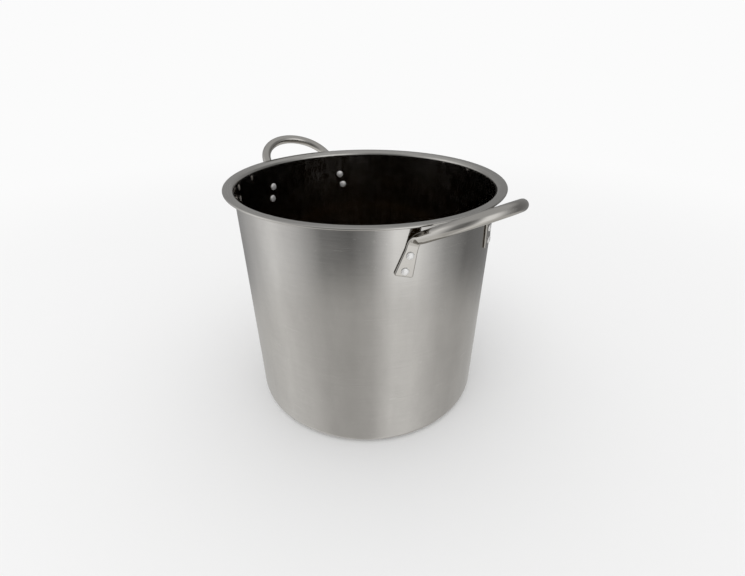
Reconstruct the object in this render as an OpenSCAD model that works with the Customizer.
// Brew kettle: a straight-sided stock pot drawn from one sheet, with a flat
// folded rim and two tubular loop handles held on by rivets.
// Millimetres. +Z is up, the origin is the centre of the underside of the base,
// the handles stand out along +X (front) and -X (rear).

/* [Kettle] */
// Outside diameter of the straight wall
kettle_diameter = 300; // [200:1:450]
// Height from the floor to the top of the rim
kettle_height = 280; // [150:1:450]
// Sheet thickness of the wall
wall_thickness = 0.8; // [0.6:0.1:1.2]
// Sheet thickness of the base
base_thickness = 1; // [0.8:0.1:4]
// Outside radius where the wall turns into the base
base_corner_radius = 10; // [5:0.5:30]

/* [Rim] */
// Outside diameter of the flat rim
rim_diameter = 323; // [310:1:480]
// Radius of the turn from the wall out to the rim, on the inside of the kettle
rim_turn_radius = 5.5; // [3:0.5:8]
// Height of the folded edge of the rim
hem_thickness = 2.6; // [1.8:0.1:3.2]
// Width of the strip folded back under the rim
hem_width = 6; // [3:0.5:6.5]

/* [Handles] */
// Diameter of the handle tube
tube_diameter = 11.5; // [9:0.1:14]
// Upward slope of the handle loop above horizontal
handle_tilt = 30; // [15:1:40]
// Angle by which each leg closes in towards the middle of the loop
leg_angle = 10; // [0:1:16]
// Length of the loop, from the bend at the wall to the outer end of the grip's centre line
loop_length = 66.2; // [62:0.5:80]
// Centre line radius of the bend between the foot and the leg
elbow_radius = 12; // [10:0.5:13]
// Thickness of the flattened foot of the tube
foot_thickness = 2.2; // [2:0.1:4]
// Width of the foot at the upper rivet
foot_width_upper = 14; // [12:0.5:18]
// Width of the foot at its lower end
foot_width_lower = 19.8; // [16:0.1:22]
// Width of the flattened tube where it starts to bend away from the wall
bend_width = 12.8; // [11.6:0.1:16]
// How far the foot reaches below the top of the rim
foot_depth = 53.6; // [52:0.1:60]

/* [Rivets] */
// Depth of the upper rivets below the top of the rim
upper_rivet_depth = 32.5; // [31:0.5:36]
// Depth of the lower rivets below the top of the rim
lower_rivet_depth = 48; // [44:0.5:48]
// Sideways distance of the upper rivets from the middle of the handle
upper_rivet_offset = 55.6; // [54:0.1:60]
// Sideways distance of the lower rivets from the middle of the handle
lower_rivet_offset = 59.5; // [56:0.1:64]
// Shank diameter
shank_diameter = 5; // [4:0.1:6]
// Diameter of the domed heads inside the kettle
inner_head_diameter = 9.6; // [8:0.1:11]
// Height of the heads inside the kettle
inner_head_height = 2.2; // [1.5:0.1:3]
// Diameter of the set heads on the feet
outer_head_diameter = 7.8; // [7:0.1:9]
// Height of the set heads on the feet
outer_head_height = 1.7; // [1.2:0.1:2.5]

/* [Hidden] */
$fn = 96;

BODY_COLOR = [0.74, 0.74, 0.73];
HANDLE_COLOR = [0.80, 0.79, 0.76];
RIVET_COLOR = [0.86, 0.86, 0.84];

// Clearance that keeps neighbouring pieces just apart
GAP = 0.04;
// How far cutting shapes run past what they cut
OVERCUT = 1;

WALL_R = kettle_diameter / 2;
INNER_R = WALL_R - wall_thickness;

// ---- rivet places and holes ----

HOLE_DIAMETER = shank_diameter + 0.1;
HOLE_LENGTH = 20;

// [sideways offset, depth below the rim] on the +Y side of the front handle
UPPER_RIVET = [upper_rivet_offset, upper_rivet_depth];
LOWER_RIVET = [lower_rivet_offset, lower_rivet_depth];

// Puts children on a rivet's radial axis, with +Z outwards from the kettle's axis
module at_rivet(place) {
    rotate([0, 0, asin(place[0] / WALL_R)])
        translate([0, 0, kettle_height - place[1]])
            rotate([0, 90, 0])
                children();
}

// The two holes of one foot
module rivet_holes() {
    for (place = [UPPER_RIVET, LOWER_RIVET])
        at_rivet(place)
            translate([0, 0, WALL_R - HOLE_LENGTH / 2])
                cylinder(h = HOLE_LENGTH, d = HOLE_DIAMETER);
}

// Left and right are as seen from the middle of the kettle, looking out at the handle:
// the front handle's left is +Y, the rear handle's left is -Y
module to_right() { mirror([0, 1, 0]) children(); }
module to_rear() { rotate([0, 0, 180]) children(); }

// ---- kettle body, drawn as a half section: x is the radius, y the height ----

CORNER_X = WALL_R - base_corner_radius;
INNER_CORNER_R = base_corner_radius - wall_thickness;
INNER_CORNER_Z = base_thickness + INNER_CORNER_R;
TURN_X = INNER_R + rim_turn_radius;
TURN_Z = kettle_height - rim_turn_radius;
RIM_R = rim_diameter / 2;
HEM_R = hem_thickness / 2;
HEM_X = RIM_R - HEM_R;

module outer_section() {
    square([CORNER_X, base_corner_radius]);
    translate([CORNER_X, base_corner_radius])
        circle(r = base_corner_radius);
    translate([0, base_corner_radius])
        square([WALL_R, TURN_Z - base_corner_radius]);
}

module cavity_section() {
    translate([-OVERCUT, base_thickness])
        square([CORNER_X + OVERCUT, INNER_CORNER_R]);
    translate([CORNER_X, INNER_CORNER_Z])
        circle(r = INNER_CORNER_R);
    translate([-OVERCUT, INNER_CORNER_Z])
        square([INNER_R + OVERCUT, kettle_height]);
}

// Quarter turn from the wall out to the rim
module rim_turn_section() {
    difference() {
        intersection() {
            translate([TURN_X, TURN_Z]) circle(r = rim_turn_radius);
            translate([INNER_R, TURN_Z]) square([rim_turn_radius, rim_turn_radius]);
        }
        translate([TURN_X, TURN_Z]) circle(r = rim_turn_radius - wall_thickness);
    }
}

module rim_section() {
    // flat top sheet
    translate([TURN_X, kettle_height - wall_thickness])
        square([HEM_X - TURN_X, wall_thickness]);
    // folded edge
    translate([RIM_R - hem_width, kettle_height - hem_thickness])
        square([hem_width - HEM_R, hem_thickness]);
    translate([HEM_X, kettle_height - HEM_R])
        circle(r = HEM_R);
}

module body_section() {
    difference() {
        union() outer_section();
        cavity_section();
    }
    rim_turn_section();
    rim_section();
}

module kettle_body() {
    color(BODY_COLOR) difference() {
        rotate_extrude() body_section();
        rivet_holes();
        to_right() rivet_holes();
        to_rear() rivet_holes();
        to_rear() to_right() rivet_holes();
    }
}

// ---- handle centre line: foot, elbow and leg of the front handle's +Y side ----

TUBE_R = tube_diameter / 2;
// The swept tube and the leg are slightly thinner than the grip, so that
// surfaces that overlap do not coincide
SWEPT_R = TUBE_R - 0.03;
LEG_R = TUBE_R - 0.01;
LEG_OVERLAP = 0.6;
HALF_T = foot_thickness / 2;
FOOT_CORNER_R = 2.6;
// Distance from the upper rivet up to the start of the elbow
ELBOW_RISE = 8.8;
// Elbow angle where the flat tube starts to turn round
ROUNDING_START = 7;
// Distance up the leg where the separate round cylinder starts
LEG_START = 6.5;

// Radius from the kettle's axis to the foot's centre line
FOOT_R = WALL_R + GAP + HALF_T;
// Sideways shift of the foot per millimetre of depth
SLANT = (lower_rivet_offset - upper_rivet_offset) / (lower_rivet_depth - upper_rivet_depth);

function unit(v) = v / norm(v);
function clamp(x, low, high) = min(max(x, low), high);
function smooth(x) = let (t = clamp(x, 0, 1)) t * t * (3 - 2 * t);
function rot_about(v, axis, angle) =
    v * cos(angle) + cross(axis, v) * sin(angle) + axis * (axis * v) * (1 - cos(angle));

// The foot follows the wall; depths are below the top of the rim
function foot_point(depth) =
    let (y = upper_rivet_offset + (depth - upper_rivet_depth) * SLANT)
    [sqrt(FOOT_R * FOOT_R - y * y), y, kettle_height - depth];
function foot_tangent(depth) =
    let (step = 0.05)
    unit(foot_point(depth - step) - foot_point(depth + step));
function outward(point) = unit([point[0], point[1], 0]);

ELBOW_DEPTH = upper_rivet_depth - ELBOW_RISE;
ELBOW_START = foot_point(ELBOW_DEPTH);
FOOT_DIR = foot_tangent(ELBOW_DEPTH);
LEG_DIR = [cos(leg_angle) * cos(handle_tilt), -sin(leg_angle), cos(leg_angle) * sin(handle_tilt)];
ELBOW_ANGLE = acos(FOOT_DIR * LEG_DIR);
// Direction from the elbow's start to its centre, and the axis it turns about
BEND_DIR = unit(LEG_DIR - (LEG_DIR * FOOT_DIR) * FOOT_DIR);
BEND_AXIS = cross(FOOT_DIR, BEND_DIR);
// Where the straight lines of foot and leg would meet
ELBOW_REACH = elbow_radius * tan(ELBOW_ANGLE / 2);
CORNER = ELBOW_START + FOOT_DIR * ELBOW_REACH;
ELBOW_END = CORNER + LEG_DIR * ELBOW_REACH;

// The grip is an arc tangent to both legs that ends at loop_length up the slope
SLOPE_DIR = [cos(handle_tilt), 0, sin(handle_tilt)];
GRIP_R = (CORNER[1] - tan(leg_angle) * loop_length)
         / (cos(leg_angle) - tan(leg_angle) * (1 - sin(leg_angle)));
GRIP_CENTRE = [CORNER[0], 0, CORNER[2]] + SLOPE_DIR * (loop_length - GRIP_R);
LEG_END = GRIP_CENTRE + SLOPE_DIR * GRIP_R * sin(leg_angle) + [0, GRIP_R * cos(leg_angle), 0];
LEG_ROUND = ELBOW_END + LEG_DIR * LEG_START;

// ---- cross sections along the foot, elbow and start of the leg ----

// Half thickness and half width as the tube goes from flat to round
function half_t_at(angle) =
    HALF_T + (SWEPT_R - HALF_T) * smooth((angle - ROUNDING_START) / (ELBOW_ANGLE + 5));
function half_w_of(half_t) =
    SWEPT_R + (bend_width / 2 - SWEPT_R) * (SWEPT_R - half_t) / (SWEPT_R - HALF_T);

// Half width of the foot, with rounded corners at its lower end
function foot_half_w(depth) =
    let (half_w = foot_width_upper / 2 + (foot_width_lower - foot_width_upper) / 2
             * (depth - upper_rivet_depth) / (foot_depth - upper_rivet_depth),
         inset = FOOT_CORNER_R - clamp(foot_depth - depth, 0, FOOT_CORNER_R))
    half_w - (FOOT_CORNER_R - sqrt(FOOT_CORNER_R * FOOT_CORNER_R - inset * inset));

// Station: [point, width direction, thickness direction, half width, half thickness,
// wall curve], where wall curve 1 follows the wall's curvature and 0 is straight
function foot_station(depth) =
    let (point = foot_point(depth),
         normal = outward(point),
         blend = smooth((depth - ELBOW_DEPTH) / ELBOW_RISE),
         half_w = foot_half_w(depth) * blend + half_w_of(HALF_T) * (1 - blend))
    [point, unit(cross(normal, foot_tangent(depth))), normal, half_w, HALF_T, 1];

// Station past the foot: turn is its angle round the elbow, rounding sets how round it is
function tube_station(point, tangent, turn, rounding, wall_curve) =
    let (normal = rot_about(outward(ELBOW_START), BEND_AXIS, turn),
         width_dir = unit(cross(normal, tangent)),
         half_t = half_t_at(rounding))
    [point, width_dir, unit(cross(tangent, width_dir)), half_w_of(half_t), half_t, wall_curve];

// The wall curve fades out over the first 30 degrees of the elbow
function elbow_station(angle) =
    tube_station(
        ELBOW_START + elbow_radius * (sin(angle) * FOOT_DIR + (1 - cos(angle)) * BEND_DIR),
        cos(angle) * FOOT_DIR + sin(angle) * BEND_DIR,
        angle, angle, clamp(1 - angle / 30, 0, 1));

// The rounding goes on up the leg, 2 degrees' worth per millimetre
function leg_station(distance) =
    tube_station(ELBOW_END + LEG_DIR * distance, LEG_DIR,
                 ELBOW_ANGLE, ELBOW_ANGLE + distance * 2, 0);

FOOT_STEPS = 6;
ELBOW_STEPS = 8;
CORNER_TOP = foot_depth - FOOT_CORNER_R;
STATIONS = concat(
    [for (up = [0, 0.5, 1.3, FOOT_CORNER_R]) foot_station(foot_depth - up)],
    [for (i = [1:FOOT_STEPS - 1])
        foot_station(CORNER_TOP - (CORNER_TOP - ELBOW_DEPTH) * i / FOOT_STEPS)],
    [for (i = [0:ELBOW_STEPS - 1]) elbow_station(ELBOW_ANGLE * i / ELBOW_STEPS)],
    [for (distance = [0, 3, 6, 8]) leg_station(distance)]);

// Outline of a flattened tube: points spaced evenly round two flats and two
// round ends, starting at the middle of the outer flat
RING_POINTS = 24;
function outline_point(i, half_w, half_t) =
    let (flat = half_w - half_t,
         bend = PI * half_t,
         s = i / RING_POINTS * (4 * flat + 2 * bend),
         end1 = flat,
         end2 = flat + bend,
         end3 = 3 * flat + bend,
         end4 = 3 * flat + 2 * bend)
    s <= end1 ? [s, half_t]
    : s <= end2 ? let (a = (s - end1) / half_t * 180 / PI) [flat + half_t * sin(a), half_t * cos(a)]
    : s <= end3 ? [flat - (s - end2), -half_t]
    : s <= end4 ? let (a = (s - end3) / half_t * 180 / PI) [-flat - half_t * sin(a), -half_t * cos(a)]
    : [-flat + (s - end4), half_t];

function ring(station) =
    [for (i = [0:RING_POINTS - 1])
        let (p = outline_point(i, station[3], station[4]),
             sag = station[5] * p[0] * p[0] / (2 * WALL_R))
        station[0] + station[1] * p[0] + station[2] * (p[1] - sag)];

// ---- handle solids ----

// Skin over the rings, closed at each end by a fan round the station's point
module swept_foot() {
    last = len(STATIONS) - 1;
    ring_points = [for (station = STATIONS) each ring(station)];
    first_centre = len(ring_points);
    sides = [for (k = [0:last - 1]) for (i = [0:RING_POINTS - 1])
        let (a = k * RING_POINTS + i,
             b = k * RING_POINTS + (i + 1) % RING_POINTS)
        each [[a, b, b + RING_POINTS], [a, b + RING_POINTS, a + RING_POINTS]]];
    first_cap = [for (i = [0:RING_POINTS - 1]) [(i + 1) % RING_POINTS, i, first_centre]];
    last_cap = [for (i = [0:RING_POINTS - 1])
        [last * RING_POINTS + i, last * RING_POINTS + (i + 1) % RING_POINTS, first_centre + 1]];
    polyhedron(points = concat(ring_points, [STATIONS[0][0], STATIONS[last][0]]),
               faces = concat(sides, first_cap, last_cap));
}

// Straight round part between the elbow and the grip, run a little into the grip
module leg() {
    translate(LEG_ROUND)
        rotate([0, -handle_tilt, 0]) rotate([0, 0, -leg_angle]) rotate([0, 90, 0])
            cylinder(h = norm(LEG_END - LEG_ROUND) + LEG_OVERLAP, r = LEG_R);
}

// Round end of the loop
module grip() {
    translate(GRIP_CENTRE)
        rotate([0, -handle_tilt, 0]) rotate([0, 0, -90 + leg_angle])
            rotate_extrude(angle = 180 - 2 * leg_angle)
                translate([GRIP_R, 0]) circle(r = TUBE_R);
}

module half_handle() {
    difference() {
        swept_foot();
        rivet_holes();
    }
    leg();
}

module loop_handle() {
    color(HANDLE_COLOR) union() {
        half_handle();
        to_right() half_handle();
        grip();
    }
}

// ---- rivets ----

// A cap of a sphere with a flat face at z = 0, standing towards +Z
module dome(d, h) {
    sphere_r = (d * d / 4 + h * h) / (2 * h);
    intersection() {
        translate([0, 0, h - sphere_r]) sphere(r = sphere_r);
        cylinder(h = h + OVERCUT, d = d);
    }
}

// Rivet along its own axis, measured from the middle of the kettle
module rivet_body() {
    // the flat inner head sits back so that its edge clears the curved wall
    seat_in = INNER_R - inner_head_diameter * inner_head_diameter / (8 * INNER_R) - GAP / 2;
    seat_out = WALL_R + GAP + foot_thickness + GAP;
    translate([0, 0, seat_in])
        mirror([0, 0, 1]) dome(inner_head_diameter, inner_head_height);
    translate([0, 0, seat_in])
        cylinder(h = seat_out - seat_in, d = shank_diameter);
    translate([0, 0, seat_out])
        dome(outer_head_diameter, outer_head_height);
}

module rivet(place) { color(RIVET_COLOR) at_rivet(place) rivet_body(); }

// ---- nodes ----

module handle_front() { loop_handle(); }
module handle_rear() { to_rear() loop_handle(); }
module rivet_front_left_upper() { rivet(UPPER_RIVET); }
module rivet_front_left_lower() { rivet(LOWER_RIVET); }
module rivet_front_right_upper() { to_right() rivet(UPPER_RIVET); }
module rivet_front_right_lower() { to_right() rivet(LOWER_RIVET); }
module rivet_rear_left_upper() { to_rear() rivet(UPPER_RIVET); }
module rivet_rear_left_lower() { to_rear() rivet(LOWER_RIVET); }
module rivet_rear_right_upper() { to_rear() to_right() rivet(UPPER_RIVET); }
module rivet_rear_right_lower() { to_rear() to_right() rivet(LOWER_RIVET); }

kettle_body();
handle_front();
handle_rear();
rivet_front_left_upper();
rivet_front_left_lower();
rivet_front_right_upper();
rivet_front_right_lower();
rivet_rear_left_upper();
rivet_rear_left_lower();
rivet_rear_right_upper();
rivet_rear_right_lower();
